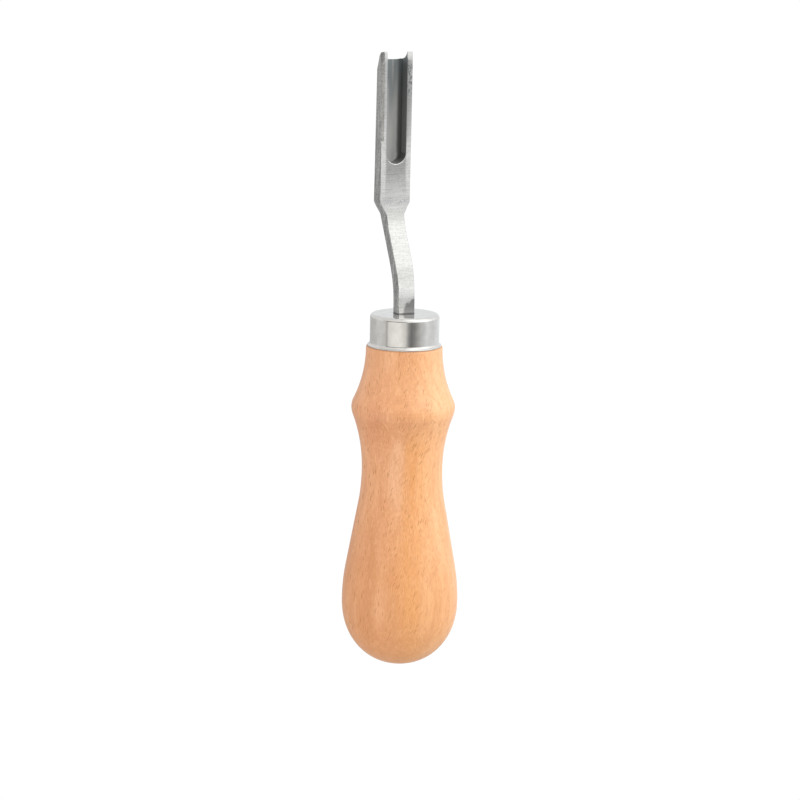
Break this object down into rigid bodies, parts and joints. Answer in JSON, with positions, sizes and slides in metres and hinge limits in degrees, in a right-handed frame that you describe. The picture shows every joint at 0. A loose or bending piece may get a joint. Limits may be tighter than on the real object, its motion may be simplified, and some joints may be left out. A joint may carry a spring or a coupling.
{
  "type": "edge beveler",
  "caption": "Leatherworking edge beveler: steel blade with an open U-channel head on a gooseneck shank, set through a polished ferrule into a turned beech handle.",
  "frame": {"origin": "lowest point of the handle's rounded butt, on the handle's axis", "axes": "+Z along the handle's axis from the butt towards the cutting end; the open side of the blade's channel faces -Y; the tool is symmetric about the plane x = 0"},
  "size_m": [0.0294, 0.0294, 0.154],
  "materials": {
    "blade_steel": "satin",
    "ferrule_metal": "polished",
    "beech": "satin",
    "adhesive": "gloss"
  },
  "bodies": {
    "root": {"blade": "blade_steel", "ferrule": "ferrule_metal", "handle": "beech", "tang_adhesive": "adhesive"}
  },
  "joints": []
}
